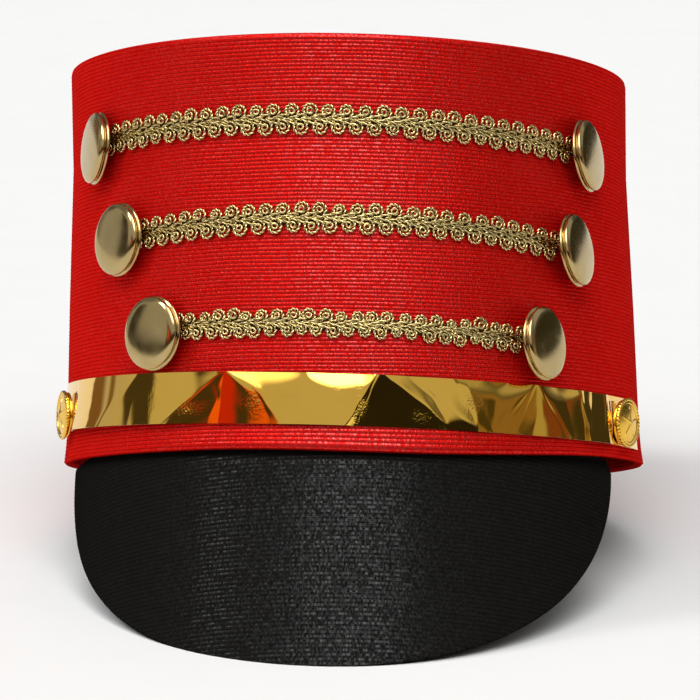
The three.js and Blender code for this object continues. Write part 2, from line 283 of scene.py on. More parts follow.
def map_cloth(shape, place_on_map):
    """Gives each corner its place in millimetres on the cloth, from its vertex."""
    layer = shape.loops.layers.uv.new("cloth")
    for face in shape.faces:
        places = [place_on_map(loop.vert) for loop in face.loops]
        widest = max(u for u, v in places)
        for loop, (u, v) in zip(face.loops, places):
            turn = math.tau * MEAN_RADIUS
            loop[layer].uv = (u + turn if widest - u > turn / 2 else u, v)


def finish_piece(shape, name, materials, slot, *nodes):
    """Places a drawn mesh on the cap, rested on the floor, where it stands for CAD nodes."""
    shape.transform(cap_place)
    for vert in shape.verts:
        vert.co.z = max(0.0, vert.co.z)
    mesh = bpy.data.meshes.new(name)
    shape.to_mesh(mesh)
    shape.free()
    for material in materials:
        mesh.materials.append(material)
    mesh.shade_smooth()
    piece = bpy.data.objects.new(name, mesh)
    bpy.context.scene.collection.objects.link(piece)
    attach(piece, "root")
    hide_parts(*nodes)
    return piece


cloth_rise = CROWN_HEIGHT - CLOTH_FOOT - CLOTH_HEAD
outside_ribs = round(cloth_rise / CROWN_RIB)
rib_pitch = cloth_rise / outside_ribs
red_cloth = cloth_material(
    "red_satin",
    # The groove colour is painted shade between the cords.
    groove=(0.25, 0.001, 0.001, 1.0),
    dark=(0.56, 0.005, 0.003, 1.0),
    light=(0.82, 0.018, 0.012, 1.0),
    rib=rib_pitch,
    thread_relief=0.16,
    dash_shine=0.75,
    sheen=0.9,
    Specular_IOR_Level=0.0,
    Specular_Tint=(1.0, 0.1, 0.08, 1.0),
    Coat_Roughness=0.18,
    Coat_IOR=1.7,
)
sheet_back, back_tree, back_shader = new_material("sheet_back", Roughness=0.9, Sheen_Weight=0.2)
fluff = mottled(back_tree, Scale=900.0, Detail=4.0)
back_colour = blend_colours(back_tree, fluff, (0.008, 0.004, 0.005, 1.0), (0.03, 0.012, 0.014, 1.0))
dress(back_tree, back_shader, back_colour, fluff, strength=1.0, relief=0.2)

outside_rows = outside_ribs * RIB_STEPS
profile = list(HEM_ROLL)
for row in range(outside_rows + 1):
    height = CLOTH_FOOT + cloth_rise * row / outside_rows
    profile.append((RIB_RELIEF * (rib_lift(row / RIB_STEPS) - 0.5), height))
profile += [(lift, CROWN_HEIGHT + drop) for lift, drop in TOP_ROLL]
profile += [(-WALL, height) for height, half_width in reversed(CROWN_SECTIONS[1:-1])]
profile += HEM_INSIDE

crown = bmesh.new()
corners = [crown.verts.new((0.0, -REFERENCE_RADIUS - lift, height)) for lift, height in profile]
edges = [crown.edges.new(pair) for pair in zip(corners, corners[1:] + corners[:1])]
bmesh.ops.spin(
    crown,
    geom=corners + edges,
    cent=(0.0, 0.0, 0.0),
    axis=(0.0, 0.0, 1.0),
    angle=math.tau,
    steps=CROWN_COLUMNS,
    use_merge=True,
)
bmesh.ops.recalc_face_normals(crown, faces=crown.faces)
for face in crown.faces:
    middle = face.calc_center_median()
    inside = math.hypot(middle.x, middle.y) < REFERENCE_RADIUS - WALL + LINING_MARGIN
    face.material_index = 1 if inside and middle.z > LINING_FOOT else 0
map_cloth(
    crown, lambda vert: (math.atan2(vert.co.x, -vert.co.y) * MEAN_RADIUS, vert.co.z - CLOTH_FOOT)
)
for vert in crown.verts:
    angle = math.atan2(vert.co.x, -vert.co.y)
    height = vert.co.z
    lift = math.hypot(vert.co.x, vert.co.y) - REFERENCE_RADIUS
    wander = RIB_WANDER * noise.noise(Vector((angle * WANDER_ALONG, height * WANDER_UP, 1.0)))
    flare = HEM_FLARE * max(0.0, 1 - height / HEM_FLARE_HEIGHT) ** 2
    vert.co = wall_point(angle, height, lift + flare)
    fade = min(1.0, height / WANDER_HEM_FADE, (CROWN_HEIGHT - height) / WANDER_TOP_FADE)
    vert.co.z += wander * fade - hem_sag(angle, height)
finish_piece(crown, "crown_wall", (red_cloth, sheet_back), "red_cloth", "crown_side")

# Crown top: the flat lid of the cap, a panel of the same ribbed satin over card, let in just below the
# rolled top edge and held by its turned-down rim. Its ribs run straight from side to side.
TOP_SUNK = 0.9
TOP_THICKNESS = 2.2
TRIM_GAP = 0.3
TOP_COLUMNS = 44
TOP_RIB = 1.13
TOP_EDGE_ROUND = 3.0
TOP_RIM_DROP = 0.8
TOP_SAG = 0.6
TOP_UNEVEN = 0.5
TOP_UNEVEN_SCALE = 0.03

top_height = CROWN_HEIGHT - TOP_SUNK
top_inset = -WALL - TRIM_GAP
top_half_width = between(CROWN_SECTIONS, top_height) + top_inset
top_half_depth = between(CROWN_SECTIONS, top_height) * DEPTH_RATIO + top_inset
top_ribs = int(2 * top_half_depth / TOP_RIB)
top = bmesh.new()
bmesh.ops.create_grid(top, x_segments=TOP_COLUMNS, y_segments=top_ribs * RIB_STEPS, size=1.0)
rows_of = {vert: round((vert.co.y + 1) / 2 * top_ribs * RIB_STEPS) for vert in top.verts}
map_cloth(top, lambda vert: (vert.co.x * top_half_width, rows_of[vert] / RIB_STEPS * rib_pitch))
for vert in top.verts:
    across, back, rib = vert.co.x, vert.co.y, rows_of[vert] / RIB_STEPS
    chord = math.sqrt(max(0.0, 1 - back * back))
    x = across * chord * top_half_width
    y = back * top_half_depth
    reach = math.hypot(x / top_half_width, y / top_half_depth)
    from_edge = (1 - reach) * top_half_width
    rim = max(0.0, 1 - from_edge / TOP_EDGE_ROUND)
    uneven = TOP_UNEVEN * noise.noise(Vector((x * TOP_UNEVEN_SCALE, y * TOP_UNEVEN_SCALE, 5.0)))
    hollow = TOP_SAG * (1 - reach * reach) + uneven
    relief = RIB_RELIEF * (rib_lift(rib) - 1.0) * (1 - rim)
    vert.co = (
        x + CROWN_LEAN * top_height / CROWN_HEIGHT,
        y,
        top_height - min(hollow, TOP_SAG) * (1 - rim) + relief - rim * rim * TOP_RIM_DROP
        - CROWN_SKEW * x / top_half_width,
    )
bmesh.ops.remove_doubles(top, verts=top.verts, dist=0.01)
rim_edges = [edge for edge in top.edges if edge.is_boundary]
turned_down = bmesh.ops.extrude_edge_only(top, edges=rim_edges)["geom"]
for part in turned_down:
    if isinstance(part, bmesh.types.BMVert):
        part.co.z -= TOP_THICKNESS - TOP_RIM_DROP
lower_edges = [edge for edge in top.edges if edge.is_boundary]
bmesh.ops.holes_fill(top, edges=lower_edges)
bmesh.ops.recalc_face_normals(top, faces=top.faces)
for face in top.faces:
    face.material_index = 1 if len(face.verts) > 4 else 0
finish_piece(top, "crown_lid", (red_cloth, sheet_back), "red_cloth", "crown_top")

# Peak: a stiff curved sheet covered on both faces with the same cloth in black, tucked up inside the hem
# and sewn there. The cloth was laid on flat, so its ribs run level across the leaning sheet, and its
# lower edge is folded round the sheet.
PEAK_DROP = 62.3
PEAK_END_DROP = 3.0
PEAK_CENTRE = -4.9
PEAK_HALF_SPAN = 68.4
PEAK_SHARPNESS = 1.12
PEAK_LEAN = math.radians(12.0)
PEAK_FLARE = math.radians(3.0)
PEAK_STEP = 1.3
PEAK_STEP_DEPTH = 4.0
PEAK_TUCK = 7.0
PEAK_THICKNESS = 2.5
PEAK_COLUMNS = 150
PEAK_RIB = 1.29
PEAK_EDGE_CUTS = 3
PEAK_EDGE_ROUND = 0.9
RIB_REPEATS = 6
EDGE_HALVINGS = 30


def peak_edge(turn):
    """The angle and the drop of the peak's lower edge; turn goes from -90 to 90 degrees along it."""
    angle = math.radians(PEAK_CENTRE + PEAK_HALF_SPAN * math.sin(turn))
    drop = PEAK_END_DROP + (PEAK_DROP - PEAK_END_DROP) * max(0.0, math.cos(turn)) ** PEAK_SHARPNESS
    return angle, drop


def peak_point(angle, depth, through, relief):
    """A point of the sheet at a depth below the hem; through goes from its back, 0, to its face, 1."""
    lift = -HEM_WALL - TRIM_GAP - PEAK_THICKNESS * (1 - through) + relief
    if depth < 0:
        point = wall_point(angle, -depth, lift)
        point.z = -depth
        return point
    lift += PEAK_STEP * min(1.0, depth / PEAK_STEP_DEPTH) + depth * math.tan(PEAK_FLARE)
    point = oval_point(angle, CROWN_SECTIONS[0][1], lift)
    point.y -= depth * math.tan(PEAK_LEAN)
    point.z = -depth
    return point


def down_the_sheet(point):
    """How far a point lies down the leaning sheet, square to its ribs."""
    return -point.z * math.cos(PEAK_LEAN) - point.y * math.sin(PEAK_LEAN)


def depth_on_rib(angle, rib_place):
    """The depth at which a rib crosses that angle, closed in on by a few repeats."""
    depth = 0.0
    for repeat in range(RIB_REPEATS):
        depth += (rib_place - down_the_sheet(peak_point(angle, depth, 1.0, 0.0))) / math.cos(PEAK_LEAN)
    return depth


def edge_turn(rib_place, side):
    """Where on the lower edge a rib ends, found by halving; side is -1 for its left end, or 1."""
    low, high = 0.0, math.pi / 2
    for repeat in range(EDGE_HALVINGS):
        half = (low + high) / 2
        angle, drop = peak_edge(side * half)
        if down_the_sheet(peak_point(angle, drop, 1.0, 0.0)) > rib_place:
            low = half
        else:
            high = half
    return side * low


tip_angle, tip_drop = peak_edge(0.0)
tip_place = down_the_sheet(peak_point(tip_angle, tip_drop, 1.0, 0.0))
end_places = []
for turn in (-math.pi / 2, math.pi / 2):
    end_places.append(down_the_sheet(peak_point(*peak_edge(turn), 1.0, 0.0)))
first_place = min(end_places)
peak_ribs = int((tip_place - first_place) / PEAK_RIB)
peak_rows = peak_ribs * RIB_STEPS
row_ends = []
for row in range(peak_rows + 1):
    rib_place = first_place + (tip_place - first_place) * row / peak_rows
    row_ends.append((rib_place, edge_turn(rib_place, -1), edge_turn(rib_place, 1)))

peak = bmesh.new()
bmesh.ops.create_grid(peak, x_segments=PEAK_COLUMNS, y_segments=peak_rows, size=1.0)
angle_layer = peak.verts.layers.float.new("angle")
depth_layer = peak.verts.layers.float.new("depth")
rib_layer = peak.verts.layers.float.new("rib")
through_layer = peak.verts.layers.float.new("through")
for vert in peak.verts:
    row = round((vert.co.y + 1) / 2 * peak_rows)
    rib_place, left_turn, right_turn = row_ends[row]
    turn = left_turn + (right_turn - left_turn) * (vert.co.x + 1) / 2
    angle = math.radians(PEAK_CENTRE + PEAK_HALF_SPAN * math.sin(turn))
    depth = depth_on_rib(angle, rib_place)
    vert[angle_layer] = angle
    vert[depth_layer] = depth
    vert[rib_layer] = row / RIB_STEPS
    vert[through_layer] = 1.0
    vert.co = (angle, -depth, 0.0)
bmesh.ops.remove_doubles(peak, verts=peak.verts, dist=1e-6)
bmesh.ops.bisect_plane(
    peak,
    geom=peak.verts[:] + peak.edges[:] + peak.faces[:],
    plane_co=(0.0, PEAK_TUCK, 0.0),
    plane_no=(0.0, 1.0, 0.0),
    clear_outer=True,
)
back_side = bmesh.ops.extrude_face_region(peak, geom=peak.faces[:], use_keep_orig=True)["geom"]
for part in back_side:
    if isinstance(part, bmesh.types.BMVert):
        part[through_layer] = 0.0
across_rim = [
    edge for edge in peak.edges if abs(edge.verts[0][through_layer] - edge.verts[1][through_layer]) > 0.5
]
bmesh.ops.subdivide_edges(peak, edges=across_rim, cuts=PEAK_EDGE_CUTS)
map_cloth(peak, lambda vert: (vert[angle_layer] * MEAN_RADIUS, vert[rib_layer] * PEAK_RIB))
for vert in peak.verts:
    angle, through = vert[angle_layer], vert[through_layer]
    relief = RIB_RELIEF * (rib_lift(vert[rib_layer]) - 1.0) * (1 if through > 0.5 else -1)
    on_rim = 0.0 < through < 1.0
    bulge = PEAK_EDGE_ROUND * math.sin(math.pi * through) if on_rim and vert[depth_layer] > 0 else 0.0
    vert.co = peak_point(angle, vert[depth_layer], through, 0.0 if on_rim else relief)
    vert.co.z -= bulge
bmesh.ops.recalc_face_normals(peak, faces=peak.faces)
black_cloth = cloth_material(
    "black_satin",
    # The groove colour is painted shade between the cords.
    groove=(0.003, 0.003, 0.003, 1.0),
    dark=(0.0075, 0.007, 0.0065, 1.0),
    light=(0.0105, 0.0098, 0.0092, 1.0),
    rib=PEAK_RIB,
    thread_relief=0.05,
    dash_shine=0.55,
    sheen=0.0,
    Specular_IOR_Level=0.0,
    Coat_Roughness=0.25,
    Coat_IOR=1.5,
)
finish_piece(peak, "peak_sheet", (black_cloth,), "black_cloth", "peak")

# Foil strip: a band of metallised film round the front above the hem, caught under a button at each end.
# It is held loosely, so it has buckled into flat triangles that stand out along its edges, and between
# the pinched points of its top edge that edge curls back. Its ends lie flat under the buttons.
STRIP_HEIGHT = 13.7
STRIP_WIDTH = 14.8
STRIP_SLOPE = 2.7
FILM_THICKNESS = 0.3
STRIP_CUTS = 17
CREASE_ROUNDS = 5
CREASE_WAVER = 1.0
WAVER_ALONG = 0.3
WAVER_UP = 1.8
CURL_ROUNDNESS = 0.7
CURL_DEEPEST = -0.22
FILM_ROUGHNESS = 0.03
FILM_DULLING = 0.04
FILM_WAVES = 0.6
STRIP_CREASES = (  # angle and lift at its lower end, the same at its upper end, and its bow to the right
    (-78.0, 0.1, -78.0, 0.0, 0.0),
    (-68.4, 0.2, -68.4, 0.0, 0.0),
    (-66.6, 2.0, -67.0, 0.0, 0.0),
    (-55.0, 2.2, -56.0, 0.0, 0.0),
    (-45.0, 1.6, -42.7, 0.6, 0.0),
    (-36.4, 1.7, -42.2, 0.6, 0.8),
    (-35.0, 1.6, -22.7, 1.9, 0.0),
    (-26.1, 0.5, -22.3, 1.9, 0.0),
    (-23.7, 0.8, -22.0, 1.9, 0.0),
    (-18.5, 0.6, -21.7, 1.9, 0.0),
    (-13.6, 0.5, -21.3, 1.8, 2.0),
    (-12.0, 0.6, -18.0, 1.4, 2.0),
    (-6.8, 1.1, -6.8, 1.4, 0.0),
    (0.3, 0.9, 4.3, 1.3, 0.0),
    (2.1, 0.2, 6.2, 1.8, 0.0),
    (2.7, 0.0, 6.7, 1.9, 0.0),
    (11.9, 0.1, 7.2, 1.9, 0.0),
    (16.4, 0.1, 7.6, 1.9, 1.0),
    (19.6, 0.2, 12.5, 0.5, 1.0),
    (25.4, 0.6, 21.1, 0.3, 0.0),
    (27.0, 0.4, 23.5, 0.7, 0.0),
    (28.3, 0.2, 30.4, 0.3, 0.0),
    (30.5, 0.1, 37.2, 1.4, 0.0),
    (33.4, 0.3, 37.6, 1.5, 0.0),
    (36.9, 0.8, 38.0, 1.5, 0.0),
    (40.8, 0.6, 38.4, 1.5, 0.0),
    (45.7, 0.3, 38.9, 1.4, 0.0),
    (47.7, 0.3, 44.8, 0.6, 0.0),
    (51.0, 0.5, 50.3, 0.8, 0.0),
    (52.3, 1.2, 51.2, 0.6, 0.0),
    (52.9, 1.2, 54.5, 0.1, 0.0),
    (57.8, 1.3, 58.1, 0.1, 0.0),
    (58.8, 1.4, 59.1, 0.5, 0.0),
    (60.0, 1.2, 60.6, 0.0, 0.0),
    (61.0, 0.2, 61.4, 0.0, 0.0),
    (76.0, 0.1, 76.0, 0.0, 0.0),
)
STRIP_CURLS = (  # angles where an edge curls back, 1 for the upper edge or 0, how far in, and how steeply
    (-21.3, -6.8, 1, 0.42, 0.24),
    (-6.8, 6.0, 1, 0.4, 0.24),
    (21.1, 37.2, 1, 0.35, 0.2),
    (39.2, 50.3, 1, 0.34, 0.24),
    (16.0, 28.0, 0, 0.22, 0.07),
)
STRIP_CRINKLES = (  # angle and share of the width of a crinkled patch, then its reach in both
    (-38.8, 0.45, 1.3, 0.5),
    (-30.0, 0.3, 5.0, 0.25),
    (-16.5, 0.45, 3.0, 0.4),
    (-1.0, 0.5, 2.6, 0.4),
    (3.0, 0.45, 1.8, 0.6),
    (15.0, 0.2, 4.0, 0.25),
    (24.5, 0.6, 2.6, 0.5),
)

strip = bmesh.new()
crinkle_layer = strip.verts.layers.float.new("crinkle")
bow_layer = strip.verts.layers.float.new("bow")
lower_points = []
upper_points = []
for lower_angle, lower_lift, upper_angle, upper_lift, bow in STRIP_CREASES:
    lower_points.append(strip.verts.new((lower_angle, 0.0, lower_lift)))
    upper_points.append(strip.verts.new((upper_angle, 1.0, upper_lift)))
    lower_points[-1][bow_layer] = bow
    upper_points[-1][bow_layer] = bow
for left in range(len(STRIP_CREASES) - 1):
    right = left + 1
    low_left, low_right = lower_points[left], lower_points[right]
    up_left, up_right = upper_points[left], upper_points[right]
    if up_left.co.z > up_right.co.z:
        strip.faces.new((low_left, low_right, up_left))
        strip.faces.new((low_right, up_right, up_left))
    else:
        strip.faces.new((low_left, low_right, up_right))
        strip.faces.new((low_left, up_right, up_left))
bmesh.ops.subdivide_edges(strip, edges=strip.edges[:], cuts=STRIP_CUTS, use_grid_fill=True)
for edge in strip.edges:
    edge.smooth = not edge.is_boundary
for vert in strip.verts:
    degrees, up, lift = vert.co
    waver = noise.noise(Vector((degrees * WAVER_ALONG, up * WAVER_UP, 3.0)))
    degrees += CREASE_WAVER * math.sin(math.pi * up) * waver + vert[bow_layer] * 4 * up * (1 - up)
    curl = 0.0
    for start, end, edge, widest, steepness in STRIP_CURLS:
        share = (degrees - start) / (end - start)
        if 0 < share < 1:
            reach = widest * (4 * share * (1 - share)) ** CURL_ROUNDNESS
            inside = max(0.0, reach - abs(edge - up))
            curl += steepness * STRIP_WIDTH * inside**2 / max(reach, 0.01)
    angle = math.radians(degrees)
    height = STRIP_HEIGHT - STRIP_SLOPE * math.sin(angle) + STRIP_WIDTH * (up - 0.5)
    for patch_angle, patch_up, angle_reach, up_reach in STRIP_CRINKLES:
        away = math.hypot((degrees - patch_angle) / angle_reach, (up - patch_up) / up_reach)
        vert[crinkle_layer] = max(vert[crinkle_layer], 1 - away)
    vert.co = wall_point(angle, height, TRIM_GAP + FILM_THICKNESS + max(CURL_DEEPEST, lift - curl))
inner_verts = [vert for vert in strip.verts if not vert.is_boundary]
for repeat in range(CREASE_ROUNDS):
    bmesh.ops.smooth_vert(
        strip, verts=inner_verts, factor=0.5, use_axis_x=True, use_axis_y=True, use_axis_z=True
    )
bmesh.ops.recalc_face_normals(strip, faces=strip.faces)

gold_film, film_tree, film_shader = new_material(
    "gold_film", Metallic=1.0, Coat_Weight=0.4, Coat_Roughness=0.03
)
film_patches = mottled(film_tree, Scale=70.0, Detail=2.0)
film_colour = blend_colours(film_tree, film_patches, (0.86, 0.49, 0.05, 1.0), (0.93, 0.57, 0.085, 1.0))
film_gloss = maths(film_tree, "MULTIPLY_ADD", film_patches, FILM_DULLING, FILM_ROUGHNESS)
film_tree.links.new(film_gloss, film_shader.inputs["Roughness"])
film_crinkle = mottled(film_tree, Scale=1500.0, Detail=2.0)
crinkled = add_node(film_tree, "ShaderNodeAttribute", attribute_name="crinkle").outputs["Fac"]
film_waves = maths(film_tree, "MULTIPLY", film_patches, FILM_WAVES)
film_relief = maths(film_tree, "MULTIPLY_ADD", film_crinkle, crinkled, film_waves)
dress(film_tree, film_shader, film_colour, film_relief, strength=0.6, relief=0.12)
film_edge, edge_tree, edge_shader = new_material("film_edge", Roughness=0.4)
edge_grain = mottled(edge_tree, Scale=500.0)
edge_tree.links.new(
    blend_colours(edge_tree, edge_grain, (0.45, 0.30, 0.12, 1.0), (0.75, 0.62, 0.38, 1.0)),
    edge_shader.inputs["Base Color"],
)
strip_piece = finish_piece(strip, "foil_band", (gold_film, film_edge), "gold_foil", "foil_strip")
film_body = strip_piece.modifiers.new("film thickness", "SOLIDIFY")
film_body.thickness = FILM_THICKNESS * MILLIMETRE
film_body.offset = -1.0
film_body.material_offset_rim = 1

# Side buttons: small stamped buttons in bright yellow gold that hold the strip's ends, with a rope edge
# and a raised star on a shallow dish. Each stands on a flat foot ring and is sewn through the strip.
SIDE_BUTTON_RADIUS = 7.5
STRIP_THICKNESS = 0.5
SIDE_PROFILE = (  # distance in from the edge, and height over the foot
    (0.8, 0.0),
    (0.65, 0.1),
    (0.6, 0.25),
    (0.6, 0.6),
    (0.7, 0.75),
    (1.15, 0.85),
    (1.15, 1.0),
    (0.9, 1.1),
    (0.9, 2.0),
    (1.5, 2.15),
    (1.8, 1.85),
    (4.5, 2.4),
)
SIDE_CROWN = 2.6
SIDE_STEPS = 72
SIDE_SHARP_ANGLE = math.radians(35.0)
MERGE_DISTANCE = 1e-4
ROPE_RADIUS = 0.62
ROPE_GROOVE = 0.28
ROPE_ROUNDNESS = 0.7
ROPE_TURNS = 40
ROPE_SIDES = 8
ROPE_STEPS = 5
STAR_POINTS = 5
STAR_OUTER = 4.7
STAR_INNER = 1.9
STAR_BOTTOM = 1.7
STAR_TOP = 3.0
STAR_RIDGE = 0.75
STAR_SKIRT = 1.08
ROPE_HEIGHT = 1.6
PLATE_DULLING = 0.12
SIDE_PLACES = (  # name, angle, height, and lean away from the front
    ("left", -72.5, 13.8, -3.0),
    ("right", 65.0, 10.8, -6.0),
)


def seat(angle, height, lean, stand_off):
    """Stands a fastening on the wall: its Z out of the cap, turned by lean away from the front."""
    turn = math.radians(angle)
    up = Vector((0.0, 0.0, 1.0))
    out = outward(turn)
    out.rotate(Matrix.Rotation(math.radians(lean) * math.copysign(1.0, angle), 3, "Z"))
    basis = Matrix((up.cross(out), up, out)).transposed().to_4x4()
    return Matrix.Translation(wall_point(turn, height, stand_off)) @ basis


def turned(points, steps):
    """A closed body turned about Z from points of radius and height, both ends on the axis."""
    shape = bmesh.new()
    corners = [shape.verts.new((radius, 0.0, height)) for radius, height in points]
    edges = [shape.edges.new(pair) for pair in zip(corners, corners[1:])]
    bmesh.ops.spin(
        shape, geom=corners + edges, axis=(0, 0, 1), angle=math.tau, steps=steps, use_merge=True
    )
    bmesh.ops.remove_doubles(shape, verts=shape.verts, dist=MERGE_DISTANCE)
    bmesh.ops.recalc_face_normals(shape, faces=shape.faces)
    return shape


def tarnish_group():
    """Handled plate: soft patches that are duller, and a fine grain."""
    inputs = {"Gloss": "NodeSocketFloat"}
    group, given = new_group("handled plate", inputs, ("Roughness", "Dull", "Height"))
    patches = mottled(group, Scale=140.0, Detail=3.0, Distortion=0.6)
    grain = mottled(group, Scale=1500.0, Detail=2.0)
    roughness = maths(group, "MULTIPLY_ADD", patches, PLATE_DULLING, given["Gloss"])
    add_node(group, "NodeGroupOutput", {"Roughness": roughness, "Dull": patches, "Height": grain})
    return group


handled_plate = tarnish_group()


def plate_material(name, dull, bright, gloss):
    """Polished plated metal that has been handled."""
    material, tree, shader = new_material(name, Metallic=1.0)
    plate = add_node(tree, "ShaderNodeGroup", node_tree=handled_plate)
    plate.inputs["Gloss"].default_value = gloss
    colour = blend_colours(tree, plate.outputs["Dull"], dull, bright)
    dress(tree, shader, colour, plate.outputs["Height"], strength=0.15, relief=0.02)
    tree.links.new(plate.outputs["Roughness"], shader.inputs["Roughness"])
    return material


def rope_ring(shape, radius, height):
    """Adds the twisted edge of a stamped button: a ring with slanting ridges."""
    steps = ROPE_TURNS * ROPE_STEPS
    before = set(shape.verts)
    bmesh.ops.create_grid(shape, x_segments=steps, y_segments=ROPE_SIDES, size=1.0)
    ring = [vert for vert in shape.verts if vert not in before]
    for vert in ring:
        round_disc = math.pi * (vert.co.x + 1)
        round_rope = math.pi * (vert.co.y + 1)
        ridge = abs(math.sin((ROPE_TURNS * round_disc + round_rope) / 2)) ** ROPE_ROUNDNESS
        thick = ROPE_RADIUS * (1 - ROPE_GROOVE + ROPE_GROOVE * ridge)
        reach = radius + thick * math.cos(round_rope)
        rise = height + thick * math.sin(round_rope)
        vert.co = (reach * math.cos(round_disc), reach * math.sin(round_disc), rise)
    bmesh.ops.remove_doubles(shape, verts=ring, dist=MERGE_DISTANCE)


def star_relief(shape):
    """Adds the raised star, with a ridge down each point."""
    before = set(shape.verts)
    base = bmesh.ops.create_circle(
        shape, cap_ends=True, cap_tris=True, segments=STAR_POINTS * 2, radius=STAR_OUTER
    )
    rim = []
    for vert in base["verts"]:
        if vert.co.length < 1e-6:
            vert.co.z = STAR_TOP
        else:
            rim.append(vert)
    for vert in rim:
        turn = math.atan2(vert.co.x, vert.co.y)
        point = round(turn * STAR_POINTS / math.pi)
        reach = STAR_OUTER if point % 2 == 0 else STAR_INNER
        vert.co = (reach * math.sin(turn), reach * math.cos(turn), STAR_TOP - STAR_RIDGE)
    skirt = bmesh.ops.extrude_edge_only(
        shape, edges=[edge for edge in shape.edges if edge.is_boundary and edge.verts[0] not in before]
    )["geom"]
    for part in skirt:
        if isinstance(part, bmesh.types.BMVert):
            part.co = (part.co.x * STAR_SKIRT, part.co.y * STAR_SKIRT, STAR_BOTTOM)
    bottom = [edge for edge in shape.edges if edge.is_boundary and edge.verts[0] not in before]
    bmesh.ops.holes_fill(shape, edges=bottom)


yellow_gold = plate_material(
    "yellow_gold_plate", dull=(0.80, 0.42, 0.03, 1.0), bright=(0.95, 0.66, 0.12, 1.0), gloss=0.16
)
for side, angle, height, lean in SIDE_PLACES:
    foot_radius = SIDE_BUTTON_RADIUS - SIDE_PROFILE[0][0]
    stand_off = STRIP_THICKNESS + 2 * TRIM_GAP + foot_radius * math.sin(math.radians(abs(lean)))
    outline = [(0.0, 0.0)]
    outline += [(SIDE_BUTTON_RADIUS - inset, rise) for inset, rise in SIDE_PROFILE]
    outline.append((0.0, SIDE_CROWN))
    button = turned(outline, SIDE_STEPS)
    rope_ring(button, SIDE_BUTTON_RADIUS - ROPE_RADIUS, ROPE_HEIGHT)
    star_relief(button)
    bmesh.ops.recalc_face_normals(button, faces=button.faces)
    button.transform(seat(angle, height, lean, stand_off))
    name = f"side_button_{side}"
    piece = finish_piece(button, f"{name}_star", (yellow_gold,), "yellow_gold", name)
    piece.data.set_sharp_from_angle(angle=SIDE_SHARP_ANGLE)

# Braid: three rows of gold scroll braid sewn across the front on a tape, which is coloured dark as painted
# shade in the gaps between the loops. A beaded two-ply gimp stands in arches along both edges, the two
# edges half a step apart. A finer yarn runs up the middle from the left, leaves it and curls into a ring
# under each arch.
BRAID_PITCH = 5.3
BRAID_END_GAP = 4.0
ARCH_CENTRE = 2.3
ARCH_RADIUS = 1.85
ARCH_OPEN = math.radians(150.0)
ARCH_STEPS = 40
ARCH_LIFT = 0.75
GIMP_RADIUS = 0.5
GIMP_SIDES = 6
GIMP_LOBE = 0.24
RING_RADIUS = 0.78
RING_TURNS = 1.1
RING_STEPS = 22
LEG_LENGTH = 8.5
LEG_START = -0.25
LEG_STEPS = 30
YARN_LOW = 0.75
YARN_TOP = 1.25
YARN_RADIUS = 0.42
YARN_SIDES = 5
YARN_LOBE = 0.1
CORE_STRANDS = 2
CORE_SWING = 0.5
CORE_LENGTH = 7.0
CORE_STEP = 0.3
CORE_LIFT = 0.45
CORE_WEAVE = 0.2
GIMP_TWIST = 1.2
YARN_TWIST = 2.2
TAPE_REACH = 1.5
TAPE_SCALLOP = 0.4
TAPE_LIFT = 0.35
TAPE_THICKNESS = 0.25
TAPE_STEPS = 6
TAPE_ROWS = 4
SIZE_UNEVENNESS = 0.4
HAND_SEED = 7
PLY_LEVEL = 0.6
PLY_PAINTED_SHADE = 0.4
GLINT_LEVEL = -0.1
GLINT_SHADE = 2.0
YARN_ROUGHNESS = 0.42
YARN_GLOSS = -0.3
BRAID_ROWS = (  # name, end angles, heights at the left end, the front and the right end, pitch, unevenness
    ("upper", -56.2, 53.8, 93.0, 94.6, 91.0, BRAID_PITCH, 0.10),
    ("middle", -47.1, 48.2, 63.2, 66.0, 61.3, BRAID_PITCH, 0.12),
    ("lower", -37.4, 38.6, 35.8, 35.4, 32.6, 4.6, 0.26),
)


def tube_along(shape, path, outs, radius, sides, lobe, twist, layer):
    """Adds a two-ply cord along a path: a tube with two winding ridges, mapped in turns of its twist."""
    steps = len(path) - 1
    lengths = [0.0]
    for start, end in zip(path, path[1:]):
        lengths.append(lengths[-1] + (end - start).length)
    before = set(shape.verts)
    bmesh.ops.create_grid(shape, x_segments=steps, y_segments=sides, size=1.0)
    made = [vert for vert in shape.verts if vert not in before]
    places = {}
    for vert in made:
        places[vert] = (round((vert.co.x + 1) / 2 * steps), (vert.co.y + 1) / 2)
    for face in {face for vert in made for face in vert.link_faces}:
        for loop in face.loops:
            step, share = places[loop.vert]
            loop[layer].uv = (lengths[step] / twist, share)
    for vert in made:
        step, share = places[vert]
        along = (path[min(step + 1, steps)] - path[max(step - 1, 0)]).normalized()
        side_way = along.cross(outs[step]).normalized()
        out_way = side_way.cross(along)
        around = math.tau * share
        ply = math.cos(2 * around - math.tau * lengths[step] / twist)
        reach = radius * (1 - lobe / 2 + lobe * ply)
        vert.co = path[step] + (out_way * math.cos(around) + side_way * math.sin(around)) * reach
    bmesh.ops.remove_doubles(shape, verts=made, dist=MERGE_DISTANCE)


def arch_line():
    """One arch of gimp laid flat: along the row, out from its middle, and out from the cloth."""
    line = []
    for step in range(ARCH_STEPS + 1):
        turn = ARCH_OPEN * (2 * step / ARCH_STEPS - 1)
        line.append((ARCH_RADIUS * math.sin(turn), ARCH_CENTRE + ARCH_RADIUS * math.cos(turn), ARCH_LIFT))
    return line


